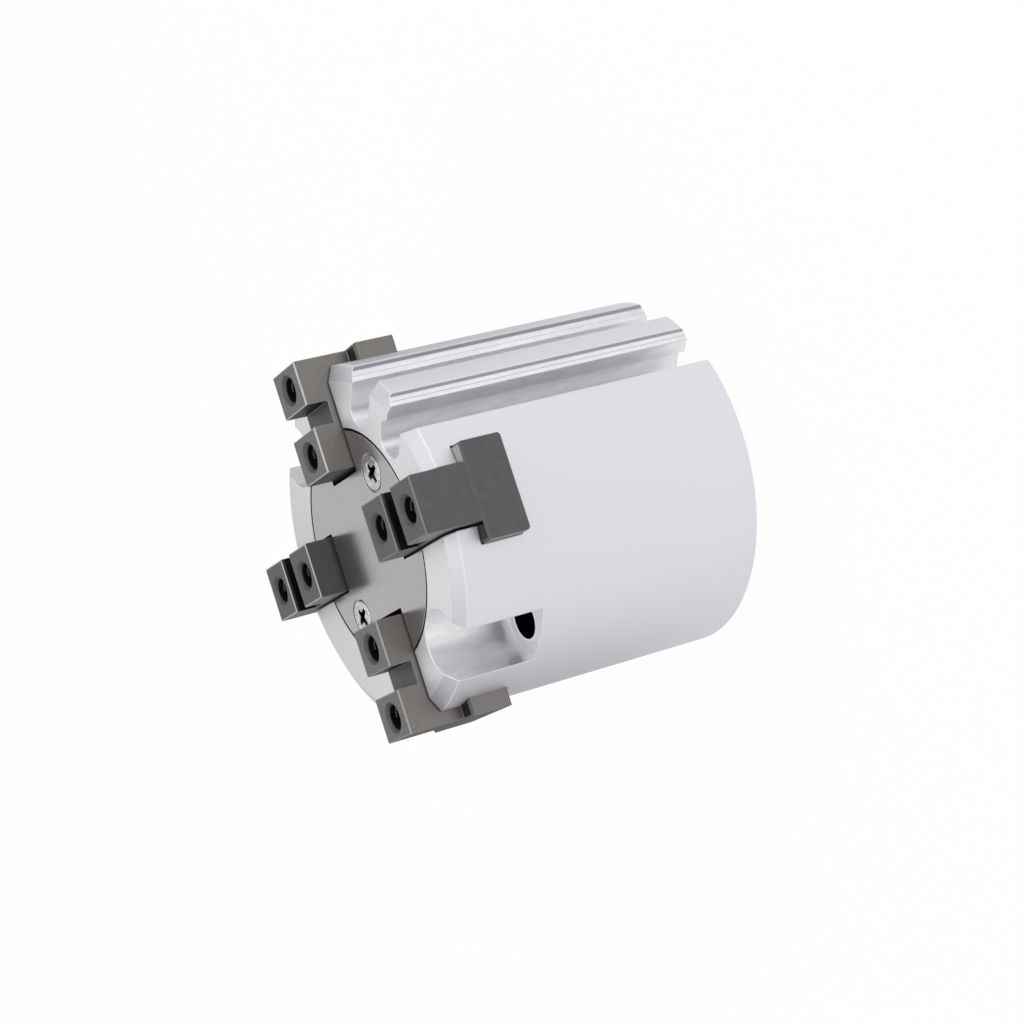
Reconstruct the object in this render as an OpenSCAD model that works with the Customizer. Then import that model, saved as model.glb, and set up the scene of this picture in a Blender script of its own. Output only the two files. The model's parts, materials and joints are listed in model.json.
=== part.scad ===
// Four-jaw concentric air gripper with a round body.
// +Z is the axis, towards the jaws. The origin is the centre of the rear mounting face.
// A piston pushes a cross-shaped wedge cam along the axis, and its sloping T-slots draw the four jaws
// in or push them out together. The jaws are drawn closed: each opens outwards by jaw_stroke.

/* [Body] */
// Outside diameter of the body
body_d = 62; // [61:0.5:66]
// Width of the front edge's bevel, measured across the face
bevel_w = 2.6; // [1.5:0.1:3]
// Height of the front edge's bevel, measured along the axis
bevel_h = 1.4; // [0.8:0.1:2.5]
// Size of the rear edge's chamfer
rear_chamfer = 0.5; // [0.2:0.1:1]
// Size of the chamfer round the plate's recess
mouth_chamfer = 0.45; // [0.2:0.05:0.8]
// Diameter of the cylinder bore
bore_d = 36; // [35:0.5:37]
// Diameter of the centring recess in the rear face
pilot_d = 40; // [39.5:0.5:44]
// Depth of the centring recess
pilot_depth = 1.5; // [1:0.1:2]
// Thickness of the inner wall between the cylinder and the cam's chamber
wall_t = 5.4; // [5:0.1:7]

/* [Jaws] */
// How far each jaw travels outwards from closed to open
jaw_stroke = 4; // [3:0.5:4]
// Distance from the axis to a closed jaw's inner end
closed_r = 13; // [13:0.25:14]
// Width of a jaw's stem
jaw_w = 9.8; // [9:0.1:10.5]
// Width of a jaw's T head
head_w = 16.5; // [15:0.1:16.6]
// Thickness of the T head along the axis
head_t = 7.7; // [7:0.1:8]
// Depth of the T head's shoulders below the front face
shoulder_depth = 5.2; // [4.6:0.1:5.4]
// Length of one lug along the jaw
lug_l = 8; // [7:0.25:9]
// Height of the lugs above the front face
lug_h = 5; // [4.5:0.25:8]
// Width of the key slot between the two lugs
key_w = 4; // [3:0.5:5]
// Depth of the key slot
key_depth = 4; // [3:0.25:4.5]
// Size of the chamfer on the lugs' edges
lug_chamfer = 0.22; // [0.16:0.02:0.4]
// Size of the chamfer on the T head's long edges
head_chamfer = 0.4; // [0.2:0.05:0.5]
// How far the head's outer end stands past the stem's
head_step = 0.3; // [0.2:0.05:0.5]
// Drill diameter of the lugs' M5 threads
tap_d = 4.2; // [3.3:0.1:4.6]
// Depth of the tapped holes
tap_depth = 10; // [8:0.5:12]
// Diameter of the tapped holes' countersinks
tap_sink_d = 5.5; // [5.2:0.1:6]

/* [Wedge drive] */
// Jaw travel for each millimetre of piston travel
wedge_slope = 0.5; // [0.5:0.05:0.6]
// Length of the cam along the axis
cam_len = 14; // [12:0.5:14]
// Distance from the axis to the cam's faces at its front end
cam_front_r = 8.75; // [8.5:0.05:9]
// Width of the cam's arms
cam_arm_w = 15; // [13:0.5:15.5]
// Largest radius of the cam
cam_max_r = 16.6; // [15.5:0.1:17]
// Width of the neck of a jaw's hook
hook_neck_w = 3.4; // [3:0.1:4]
// Width of the head of a jaw's hook
hook_head_w = 6.2; // [5.5:0.1:6.6]
// Radial length of the hook's neck
hook_neck_l = 1.7; // [1.4:0.1:1.9]
// Radial length of the hook's head
hook_head_l = 1.9; // [1.5:0.1:2]
// How far a jaw's leg hangs below its head
leg_drop = 4.1; // [3.5:0.1:4.4]
// Distance from the axis to the back of a closed jaw's leg
leg_back_r = 15; // [14.5:0.1:15.2]

/* [Mounting pockets] */
// Width of a pocket and of its round floor
pocket_w = 11; // [10:0.5:11]
// Depth of a pocket from the front face
pocket_depth = 15.8; // [14:0.2:20]
// Pitch circle diameter of the two mounting bolt holes
mount_pcd = 52; // [52:0.1:53]
// Sideways offset of the pocket from the body's diagonal
pocket_off = 3.2; // [2.5:0.1:3.6]
// Diameter of the mounting bolt holes
mount_hole_d = 6.6; // [5.5:0.1:7]

/* [Switch grooves] */
// Width of a groove
groove_w = 6.2; // [5.5:0.1:6.4]
// Thickness of the middle rib between the two grooves
rib_w = 4.2; // [4:0.1:5]
// Distance from the axis to the grooves' floors
groove_floor_r = 20.9; // [20.6:0.05:22]
// Corner radius of the grooves' floors
groove_fillet = 2.7; // [1.5:0.1:2.7]
// How far the middle rib's lip stands out over its groove
lip_w = 1.8; // [1.2:0.1:2.2]
// Thickness of the lips at their edges
lip_t = 2.6; // [2:0.1:3]
// Depth of the step from the body's surface down to a lip's slope
lip_step = 0.8; // [0.5:0.1:1]
// Fall of the slope from that step to the lip's edge
slope_fall = 0.8; // [0.5:0.1:1]
// Height of the fine step halfway down a lip's slope
line_step = 0.16; // [0.08:0.02:0.24]
// How far the lip on the other groove stands out over it
side_lip_w = 0.2; // [0.1:0.1:0.6]
// Width of the slope behind the other groove's lip
side_slope_w = 2.2; // [1.8:0.1:2.6]
// Width of the bevel on the far wall of the middle rib's groove
flare_w = 2.7; // [1.5:0.1:3]

/* [Front plate] */
// Diameter of the recess that the plate sits in
plate_d = 40; // [39:0.5:40]
// Thickness of the plate
plate_t = 2.5; // [2.2:0.1:2.6]
// Distance from the axis to the plate's screws
plate_screw_r = 14.6; // [14.4:0.1:15]
// Head diameter of the plate's screws
screw_head_d = 6.4; // [5.6:0.1:6.6]
// Gap round the screws' heads
screw_gap = 0.15; // [0.05:0.05:0.2]
// Thread diameter of the plate's screws
screw_d = 3; // [2.5:0.1:3]
// Length of the plate's screws
screw_l = 8; // [6:0.5:9]

/* [Piston] */
// Length of the piston's disc with its magnet holder
piston_t = 10.4; // [10.4:0.1:11]
// Diameter of the piston rod
rod_d = 12; // [11:0.5:13]
// Thickness of the magnet holder
holder_t = 1.6; // [1.4:0.1:1.8]
// Thickness of the ring magnet
magnet_t = 2.6; // [2:0.1:2.8]
// Width of the piston seal
seal_w = 2.3; // [2:0.1:2.5]
// Radial depth of the piston seal
seal_depth = 2.4; // [2:0.1:2.8]
// Width of the wear ring
wear_w = 1.3; // [1:0.1:1.4]
// How far the bumpers stand out of their grooves
bumper_proud = 0.6; // [0.3:0.05:0.8]

/* [Rear closure] */
// Thickness of the cap
cap_t = 4.6; // [4.4:0.1:5]
// How much larger in radius the cap's seat is than the bore
cap_step = 0.5; // [0.3:0.1:0.6]
// Thickness of the retaining ring
ring_t = 1.5; // [1.2:0.1:1.6]
// Depth of the retaining ring's groove
ring_groove_depth = 1; // [0.8:0.1:1.3]
// Section width of the cap's seal
cap_seal_w = 2; // [1.6:0.1:2.2]

/* [Ports and pin] */
// Drill diameter of the M5 air ports
port_d = 4.2; // [3.3:0.1:4.6]
// Depth of the air ports
port_depth = 7; // [6:0.5:8]
// Diameter of the locating pin hole in the rear face
pin_hole_d = 4; // [3:0.5:5]
// Depth of the locating pin hole
pin_hole_depth = 4; // [3:0.5:6]
// Distance from the axis to the locating pin hole
pin_hole_r = 25.5; // [24:0.5:27]
// Angle round the axis from the ports to the locating pin hole
pin_turn = 20; // [16:1:26]

/* [Clearances] */
// Gap on each side of a sliding jaw, hook or piston part
slide_clear = 0.05; // [0.04:0.01:0.08]
// Gap between the cam's faces and the jaws'
face_clear = 0.1; // [0.08:0.01:0.15]
// Gap on each side of a jaw's stem in the body and the plate
stem_clear = 0.4; // [0.2:0.05:0.5]
// Radial gap round parts that are dropped into place
seat_clear = 0.03; // [0.02:0.01:0.05]
// Gap left at each end of the piston's stroke
stop_clear = 0.15; // [0.1:0.05:0.3]

/* [Hidden] */
$fn = 96;
cut = 1;

// Heights along the axis, built up from the rear face to the front face
bore_r = bore_d / 2;
ring_land = 0.8;
ring_z = pilot_depth + ring_land;
ring_groove_w = ring_t + 0.1;
cap_r = bore_r + cap_step;
cap_z = ring_z + ring_groove_w;
cap_top = cap_z + cap_t;
piston_z = cap_top + bumper_proud + stop_clear;
piston_top = piston_z + piston_t;
piston_stroke = jaw_stroke / wedge_slope;
bore_end = piston_top + piston_stroke + bumper_proud + stop_clear;

chamber_z = bore_end + wall_t;
cam_gap = 0.5;
cam_z = chamber_z + cam_gap;
cam_front = cam_z + cam_len;
plate_gap = 0.2;
plate_z = cam_front + piston_stroke + plate_gap;
body_len = plate_z + plate_t;

// Heights that hang from the front face
head_top = body_len - shoulder_depth;
head_z = head_top - head_t;
leg_z = head_z - leg_drop;
hook_top = cam_front + 0.9;
nose_top = hook_top + 0.4;
lug_top = body_len + lug_h;
key_floor = lug_top - key_depth;

// Radii and lengths that follow from the sizes above
jaw_len = 2 * lug_l + key_w;
jaw_out_r = closed_r + jaw_len;
plate_slot_r = closed_r - 0.9;
stem_slot_w = jaw_w + 2 * stem_clear;
head_slot_w = head_w + 2 * slide_clear;
chamber_gap = 0.6;
chamber_r = cam_max_r + chamber_gap;
leg_room_r = leg_back_r + jaw_stroke + 0.4;
hook_l = hook_neck_l + hook_head_l;
pocket_r = sqrt(pow(mount_pcd / 2, 2) - pow(pocket_off, 2));
rod_r = rod_d / 2;
rod_seat = 1.5;
rod_top = cam_z + rod_seat;
boss_r = 12;
flange_z = piston_z + holder_t + magnet_t;
flange_r = bore_r - 0.2;
land = 0.8;
wear_z = flange_z + land;
wear_depth = 1.2;
seal_z = piston_top - land - seal_w - 0.1;
rod_seal_h = 2.4;
rod_seal_t = 2.1;
rod_seal_z = (bore_end + chamber_z - rod_seal_h) / 2;
cap_seal_depth = 1.6;
bumper_in_r = 8.6;
bumper_w = 3;
bumper_seat = 1.2;
cam_bolt_d = 4;
bolt_head_d = 7;
bolt_head_h = 4;
washer_t = 0.9;
bolt_l = 18;
bolt_seat = cam_front - bolt_head_h - washer_t - 0.2;
cam_pin_d = 2;
cam_pin_r = 4.3;
cam_pin_l = 4.4;
holder_screw_r = 8;
holder_screw_d = 2.5;
holder_head_d = 4.6;
holder_screw_l = 3.6;
port_angle = 225;
passage_d = 1.6;
rear_passage_z = cap_top + 1.2;
front_passage_z = bore_end - 0.9;
port_inset = (port_d - passage_d) / 2 - 0.3;
diagonals = [45, 225];
jaw_turns = [0, 90, 180, 270];

// Radius of a jaw's sloping face at height z, with the jaws closed
function face_r(z) = cam_front_r + face_clear + (cam_front - z) * wedge_slope;

// Distance from the axis to the body's surface beside the diagonal, at a sideways distance v
function surface_u(v) = sqrt(pow(body_d / 2, 2) - v * v);

// A slab across the axis-to-jaw plane: profile in (radius, height), drawn w wide about the jaw's middle
module slab(w) {
    translate([0, w / 2, 0])
        rotate([90, 0, 0])
            linear_extrude(height = w)
                children();
}

// Everything below is drawn for the jaw on +X and turned to the other three
module at_jaws() {
    for (a = jaw_turns)
        rotate([0, 0, a])
            children();
}

// Extruded groove profile, in (distance out along the diagonal, sideways distance)
module along_body() {
    translate([0, 0, -cut])
        linear_extrude(height = body_len + 2 * cut)
            children();
}

// Straight groove with a rounded floor, starting at the sideways distance from
module groove_cut(from) {
    out = body_d / 2 + cut;
    low = groove_floor_r + groove_fillet;
    translate([low, from, -cut])
        cube([out - low, groove_w, body_len + 2 * cut]);
    translate([groove_floor_r, from + groove_fillet, -cut])
        cube([out - groove_floor_r, groove_w - 2 * groove_fillet, body_len + 2 * cut]);
    for (y = [from + groove_fillet, from + groove_w - groove_fillet])
        translate([low, y, -cut])
            cylinder(r = groove_fillet, h = body_len + 2 * cut);
}

// Lip left standing over a groove that starts at the sideways distance from
module lip(from, reach, edge_u) {
    along_body()
        polygon([[edge_u - lip_t - 1.1, from - cut], [edge_u - lip_t - 1.1, from],
            [edge_u - lip_t, from + reach - 0.2], [edge_u, from + reach], [body_d, from + reach],
            [body_d, from - cut]]);
}

// Cuts away what lies outside the slope from a groove's edge a to the point b on the body's surface
module slope_cut(a, b) {
    c = a + 1.35 * (b - a);
    back = a[1] < b[1] ? -cut : cut;
    along_body()
        polygon([a, c, [body_d, c[1]], [body_d, a[1] + back], [a[0], a[1] + back]]);
}

// Cuts the slope above a lip: from the lip's edge back to a foot, then up a step to the surface at sideways
// distance top, with a fine step halfway down the slope. lean is how far the step runs sideways.
module stepped_slope(edge, top, lean) {
    head = [surface_u(top), top];
    foot = head + [-lip_step, lean];
    mid = (edge + foot) / 2;
    out = foot + 1.35 * (head - foot);
    along_body()
        polygon([edge, mid + [-line_step / 2, 0.02], mid + [line_step / 2, -0.02], foot, out, [body_d, out[1]],
            [body_d, edge[1] + cut], [edge[0], edge[1] + cut]]);
}

module switch_grooves() {
    out = body_d / 2 + cut;
    rib = rib_w / 2;
    side = -rib - groove_w;
    far = rib + groove_w;
    rib_top = rib + 0.35;
    side_top = side + side_lip_w - side_slope_w;
    rib_edge = surface_u(rib_top) - lip_step - slope_fall;
    side_edge = surface_u(side_top) - lip_step - slope_fall;
    difference() {
        groove_cut(rib);
        lip(rib, lip_w, rib_edge);
    }
    difference() {
        groove_cut(side);
        lip(side, side_lip_w, side_edge);
    }
    stepped_slope([rib_edge, rib + lip_w], rib_top, 0.15);
    stepped_slope([side_edge, side + side_lip_w], side_top, 0.35);
    // bevel on the rib's other edge
    along_body()
        polygon([[surface_u(rib) - 1.9, -rib], [out, 0.45 - rib], [out, -rib - cut],
            [surface_u(rib) - 1.9, -rib - cut]]);
    // bevel on the far wall
    slope_cut([surface_u(far + flare_w) - 2.3, far], [surface_u(far + flare_w), far + flare_w]);
}

module body_blank() {
    r = body_d / 2;
    rotate_extrude()
        polygon([[0, 0], [r - rear_chamfer, 0], [r, rear_chamfer], [r, body_len - bevel_h],
            [r - bevel_w, body_len], [0, body_len]]);
}

// Cylinder, piston side: centring recess, ring groove and bore, up to the inner wall
module rear_cavity() {
    translate([0, 0, -cut])
        cylinder(d = pilot_d, h = pilot_depth + cut);
    cylinder(r = bore_r, h = bore_end);
    cylinder(r = cap_r, h = cap_top);
    translate([0, 0, ring_z])
        cylinder(r = cap_r + ring_groove_depth, h = ring_groove_w);
    cylinder(r = rod_r + slide_clear, h = body_len);
    translate([0, 0, rod_seal_z])
        cylinder(r = rod_r + rod_seal_t, h = rod_seal_h);
    translate([0, 0, bore_end - cut])
        difference() {
            cylinder(r = bumper_in_r + bumper_w, h = cut + bumper_seat);
            translate([0, 0, -cut])
                cylinder(r = bumper_in_r, h = bumper_seat + 3 * cut);
        }
}

// Room for the cam, the jaws' legs and their T heads, open to the front under the plate
module front_cavity() {
    translate([0, 0, chamber_z])
        cylinder(r = chamber_r, h = head_z - slide_clear - chamber_z);
    at_jaws() {
        translate([0, -stem_slot_w / 2, leg_z - 0.2])
            cube([leg_room_r, stem_slot_w, head_z - leg_z + cut]);
        translate([0, -head_slot_w / 2, head_z - slide_clear])
            cube([body_d, head_slot_w, head_t + 2 * slide_clear]);
        translate([0, -stem_slot_w / 2, head_top])
            cube([body_d, stem_slot_w, body_len]);
    }
    intersection() {
        translate([0, 0, head_z])
            cylinder(d = plate_d, h = body_len);
        at_jaws()
            translate([0, -head_slot_w / 2, head_z])
                cube([body_d, head_slot_w, body_len]);
    }
    translate([0, 0, plate_z])
        cylinder(d = plate_d, h = plate_t + cut);
    translate([0, 0, body_len - mouth_chamfer])
        cylinder(d1 = plate_d, d2 = plate_d + 2 * (mouth_chamfer + cut), h = mouth_chamfer + cut);
    for (a = diagonals)
        rotate([0, 0, a])
            translate([plate_screw_r, 0, plate_z + plate_t - screw_l - 1])
                cylinder(d = screw_d, h = screw_l + 1);
}

// U-shaped pockets, milled down from the front and open at the side, with the mounting bolt holes
module mounting_pockets() {
    for (a = [135, 315])
        rotate([0, 0, a])
            translate([pocket_r, -pocket_off, 0]) {
                translate([0, 0, body_len - pocket_depth])
                    cylinder(d = pocket_w, h = pocket_depth + cut);
                translate([0, -pocket_w / 2, body_len - pocket_depth])
                    cube([body_d, pocket_w, pocket_depth + cut]);
                translate([0, 0, -cut])
                    cylinder(d = mount_hole_d, h = body_len);
            }
}

module air_port(passage_z, port_z) {
    rotate([0, 0, port_angle]) {
        translate([body_d / 2 - port_depth, 0, port_z])
            rotate([0, 90, 0])
                cylinder(d = port_d, h = port_depth + cut);
        translate([bore_r - cut, 0, passage_z])
            rotate([0, 90, 0])
                cylinder(d = passage_d, h = body_d / 2 - port_depth - bore_r + 2 * cut);
    }
}

module body() {
    color([0.83, 0.83, 0.86])
        difference() {
            body_blank();
            rear_cavity();
            front_cavity();
            rotate([0, 0, 45])
                mirror([0, 1, 0])
                    switch_grooves();
            mounting_pockets();
            air_port(rear_passage_z, rear_passage_z + port_inset);
            air_port(front_passage_z, front_passage_z - port_inset);
            rotate([0, 0, port_angle - pin_turn])
                translate([pin_hole_r, 0, -cut])
                    cylinder(d = pin_hole_d, h = pin_hole_depth + cut);
        }
}

// Ground steel disc, flush with the front face, slotted for the jaws' stems
module end_plate() {
    color([0.66, 0.66, 0.67])
        difference() {
            translate([0, 0, plate_z])
                cylinder(r = plate_d / 2 - seat_clear, h = plate_t);
            at_jaws()
                translate([plate_slot_r, -stem_slot_w / 2, plate_z - cut])
                    cube([plate_d, stem_slot_w, plate_t + 2 * cut]);
            for (a = diagonals)
                rotate([0, 0, a])
                    translate([plate_screw_r, 0, 0])
                        screw_hole();
        }
}

module screw_hole() {
    sink = (screw_head_d - screw_d) / 2;
    translate([0, 0, plate_z - cut])
        cylinder(d = screw_d + 2 * seat_clear, h = plate_t + 2 * cut);
    translate([0, 0, body_len - sink])
        cylinder(d1 = screw_d + 2 * seat_clear, d2 = screw_head_d + 2 * screw_gap, h = sink);
    translate([0, 0, body_len - 0.25])
        cylinder(d = screw_head_d + 2 * screw_gap, h = cut);
}

module plate_screws() {
    sink = (screw_head_d - screw_d) / 2;
    recess_w = screw_d * 0.25;
    color([0.86, 0.86, 0.86])
        for (a = diagonals)
            rotate([0, 0, a])
                translate([plate_screw_r, 0, body_len])
                    difference() {
                        union() {
                            translate([0, 0, -sink])
                                cylinder(d1 = screw_d - 2 * seat_clear, d2 = screw_head_d - 2 * seat_clear,
                                    h = sink);
                            translate([0, 0, -screw_l])
                                cylinder(d = screw_d - 2 * seat_clear, h = screw_l - sink + 0.01);
                        }
                        for (q = [20, 110])
                            rotate([0, 0, q])
                                translate([-screw_head_d / 4, -recess_w / 2, -sink * 0.7])
                                    cube([screw_head_d / 2, recess_w, sink]);
                    }
}

// Jaw in the (radius, height) plane: the lugs and the stem, the leg and the sloping nose
module jaw_web() {
    c = lug_chamfer - 0.06;
    slot_in = closed_r + lug_l;
    slot_out = slot_in + key_w;
    stem_out = jaw_out_r - head_step;
    polygon([[leg_back_r, leg_z], [face_r(leg_z), leg_z], [face_r(nose_top), nose_top],
        [closed_r, nose_top], [closed_r, lug_top - c], [closed_r + c, lug_top],
        [slot_in - c, lug_top], [slot_in, lug_top - c], [slot_in, key_floor], [slot_out, key_floor],
        [slot_out, lug_top - c], [slot_out + c, lug_top], [stem_out - c, lug_top],
        [stem_out, lug_top - c], [stem_out, head_z], [leg_back_r, head_z]]);
}

// Part of a jaw's hook, a strip parallel to the sloping face, from radial depth a to b inside it
module hook_strip(a, b, z0, z1) {
    polygon([[face_r(z0) - b, z0], [face_r(z0) - a, z0], [face_r(z1) - a, z1], [face_r(z1) - b, z1]]);
}

// Chamfers along the lugs' long edges, a little larger than those across their ends
module jaw_chamfers() {
    c = lug_chamfer;
    w = jaw_w / 2;
    for (s = [0, 1])
        mirror([0, s, 0])
            translate([0, w, lug_top])
                rotate([45, 0, 0])
                    translate([0, -c / sqrt(2), -c / sqrt(2)])
                        cube([2 * body_d, sqrt(2) * c, sqrt(2) * c]);
}

// T head: a bar with chamfered long edges, and a chamfer across the top of its outer end
module jaw_head() {
    c = head_chamfer;
    w = head_w / 2;
    intersection() {
        slab(head_w + 2 * cut)
            polygon([[closed_r, head_z], [jaw_out_r, head_z], [jaw_out_r, head_top - head_step],
                [jaw_out_r - head_step, head_top], [closed_r, head_top]]);
        translate([closed_r - cut, 0, 0])
            rotate([90, 0, 90])
                linear_extrude(height = jaw_len + 2 * cut)
                    polygon([[c - w, head_z], [w - c, head_z], [w, head_z + c], [w, head_top - c],
                        [w - c, head_top], [c - w, head_top], [-w, head_top - c], [-w, head_z + c]]);
    }
}

// One jaw, closed, on +X
module jaw() {
    color([0.36, 0.35, 0.35])
        difference() {
            union() {
                slab(jaw_w)
                    jaw_web();
                jaw_head();
                slab(hook_neck_w)
                    hook_strip(-0.2, hook_l, leg_z, hook_top);
                slab(hook_head_w)
                    hook_strip(hook_neck_l, hook_l, leg_z, hook_top);
            }
            jaw_chamfers();
            for (r = [closed_r + lug_l / 2, jaw_out_r - lug_l / 2])
                translate([r, 0, lug_top - tap_depth]) {
                    cylinder(d = tap_d, h = tap_depth + cut);
                    translate([0, 0, tap_depth - (tap_sink_d - tap_d) / 2])
                        cylinder(d1 = tap_d, d2 = tap_sink_d + 2 * cut, h = (tap_sink_d - tap_d) / 2 + cut);
                }
        }
}

module jaw_right() { jaw(); }
module jaw_top() { rotate([0, 0, jaw_turns[1]]) jaw(); }
module jaw_left() { rotate([0, 0, jaw_turns[2]]) jaw(); }
module jaw_bottom() { rotate([0, 0, jaw_turns[3]]) jaw(); }

// Outline of two opposite arms of the cam, in the (radius, height) plane
module cam_bar() {
    front = cam_front_r;
    rear = cam_front_r + cam_len * wedge_slope;
    slab(cam_arm_w)
        polygon([[-rear, cam_z], [rear, cam_z], [front, cam_front], [-front, cam_front]]);
}

module cam() {
    color([0.45, 0.45, 0.47])
        difference() {
            intersection() {
                union() {
                    cam_bar();
                    rotate([0, 0, 90])
                        cam_bar();
                }
                translate([0, 0, cam_z])
                    cylinder(r = cam_max_r, h = cam_len);
            }
            at_jaws() {
                slab(hook_neck_w + 2 * slide_clear)
                    hook_strip(-cut, hook_neck_l, cam_z - cut, cam_front + cut);
                slab(hook_head_w + 2 * slide_clear)
                    hook_strip(hook_neck_l - face_clear, hook_l + face_clear, cam_z - cut, cam_front + cut);
            }
            translate([0, 0, cam_z - cut])
                cylinder(r = rod_r + seat_clear, h = rod_seat + cut);
            translate([0, 0, cam_z])
                cylinder(d = cam_bolt_d + 0.3, h = cam_len);
            translate([0, 0, bolt_seat])
                cylinder(d = bolt_head_d + 0.4, h = cam_len);
            translate([cam_pin_r * cos(45), cam_pin_r * sin(45), rod_top])
                cylinder(d = cam_pin_d, h = cam_pin_l / 2 + 0.2);
        }
}

module cam_bolt() {
    color([0.2, 0.2, 0.21])
        difference() {
            union() {
                translate([0, 0, bolt_seat + washer_t])
                    cylinder(d = bolt_head_d, h = bolt_head_h);
                translate([0, 0, bolt_seat + washer_t - bolt_l])
                    cylinder(d = cam_bolt_d - 2 * seat_clear, h = bolt_l + cut / 2);
            }
            translate([0, 0, bolt_seat + washer_t + bolt_head_h / 2])
                cylinder(d = 3.4, h = bolt_head_h, $fn = 6);
        }
}

module cam_washer() {
    color([0.6, 0.6, 0.62])
        translate([0, 0, bolt_seat])
            difference() {
                cylinder(d = bolt_head_d, h = washer_t);
                translate([0, 0, -cut])
                    cylinder(d = cam_bolt_d + 0.2, h = washer_t + 2 * cut);
            }
}

module cam_pin() {
    color([0.7, 0.7, 0.72])
        translate([cam_pin_r * cos(45), cam_pin_r * sin(45), rod_top - cam_pin_l / 2])
            cylinder(d = cam_pin_d - 2 * seat_clear, h = cam_pin_l);
}

// Disc and rod in one piece, with rim grooves for the seal and the wear ring
module piston() {
    color([0.72, 0.73, 0.76])
        difference() {
            union() {
                translate([0, 0, flange_z])
                    cylinder(r = flange_r, h = piston_top - flange_z);
                translate([0, 0, piston_z + holder_t])
                    cylinder(r = boss_r, h = magnet_t + cut / 2);
                translate([0, 0, piston_top - cut])
                    cylinder(r = rod_r, h = rod_top - piston_top + cut);
            }
            ring(bore_r - wear_depth - 0.1, bore_r, wear_z, wear_w + 0.1);
            ring(bore_r - seal_depth, bore_r, seal_z, seal_w + 0.1);
            translate([0, 0, bolt_seat + washer_t - bolt_l - 1])
                cylinder(d = cam_bolt_d, h = bolt_l + cam_len);
            translate([cam_pin_r * cos(45), cam_pin_r * sin(45), rod_top - cam_pin_l / 2 - 0.2])
                cylinder(d = cam_pin_d, h = cam_pin_l);
            at_holder_screws()
                translate([0, 0, piston_z + holder_t - cut])
                    cylinder(d = holder_screw_d, h = holder_screw_l - holder_t + cut + 0.4);
        }
}

module at_holder_screws() {
    for (a = [0, 120, 240])
        rotate([0, 0, a])
            translate([holder_screw_r, 0, 0])
                children();
}

module magnet() {
    color([0.16, 0.15, 0.15])
        translate([0, 0, piston_z + holder_t])
            difference() {
                cylinder(r = flange_r - 1, h = magnet_t);
                translate([0, 0, -cut])
                    cylinder(r = boss_r + seat_clear, h = magnet_t + 2 * cut);
            }
}

module magnet_holder() {
    sink = (holder_head_d - holder_screw_d) / 2;
    color([0.7, 0.7, 0.74])
        difference() {
            translate([0, 0, piston_z])
                cylinder(r = flange_r - 0.4, h = holder_t);
            at_holder_screws() {
                translate([0, 0, piston_z - cut])
                    cylinder(d = holder_screw_d + 2 * seat_clear, h = holder_t + 2 * cut);
                translate([0, 0, piston_z - 0.001])
                    cylinder(d1 = holder_head_d + 2 * seat_clear, d2 = holder_screw_d, h = sink);
            }
        }
}

module holder_screws() {
    sink = (holder_head_d - holder_screw_d) / 2;
    color([0.3, 0.3, 0.31])
        at_holder_screws()
            translate([0, 0, piston_z]) {
                cylinder(d1 = holder_head_d - 2 * seat_clear, d2 = holder_screw_d - 2 * seat_clear, h = sink);
                cylinder(d = holder_screw_d - 2 * seat_clear, h = holder_screw_l);
            }
}

// Ring of height h between two radii
module ring(r_in, r_out, z, h) {
    translate([0, 0, z])
        difference() {
            cylinder(r = r_out, h = h);
            translate([0, 0, -cut])
                cylinder(r = r_in, h = h + 2 * cut);
        }
}

module piston_seal() {
    color([0.1, 0.1, 0.1])
        ring(bore_r - seal_depth + seat_clear, bore_r - seat_clear, seal_z + 0.05, seal_w);
}

module wear_ring() {
    color([0.85, 0.8, 0.66])
        ring(bore_r - wear_depth, bore_r - seat_clear, wear_z + 0.05, wear_w);
}

// Lip seal round the rod, with a V groove in the pressure side
module rod_seal() {
    color([0.1, 0.1, 0.1])
        difference() {
            ring(rod_r + 0.02, rod_r + rod_seal_t - seat_clear, rod_seal_z + 0.1, rod_seal_h - 0.2);
            translate([0, 0, rod_seal_z])
                rotate_extrude()
                    polygon([[rod_r + rod_seal_t / 2 - 0.5, 0], [rod_r + rod_seal_t / 2 + 0.5, 0],
                        [rod_r + rod_seal_t / 2, 1]]);
        }
}

module front_bumper() {
    color([0.25, 0.25, 0.24])
        ring(bumper_in_r + seat_clear, bumper_in_r + bumper_w - seat_clear, bore_end - bumper_proud,
            bumper_proud + bumper_seat);
}

module rear_bumper() {
    color([0.25, 0.25, 0.24])
        ring(bumper_in_r + seat_clear, bumper_in_r + bumper_w - seat_clear, cap_top - bumper_seat,
            bumper_proud + bumper_seat);
}

module cap() {
    color([0.72, 0.72, 0.75])
        difference() {
            translate([0, 0, cap_z])
                cylinder(r = cap_r - seat_clear, h = cap_t);
            ring(cap_r - cap_seal_depth, cap_r + cut, cap_z + 1.1, cap_seal_w + 0.3);
            ring(bumper_in_r, bumper_in_r + bumper_w, cap_top - bumper_seat, bumper_seat + cut);
        }
}

module cap_seal() {
    color([0.1, 0.1, 0.1])
        ring(cap_r - cap_seal_depth + seat_clear, cap_r - seat_clear, cap_z + 1.1 + 0.15, cap_seal_w);
}

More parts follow.
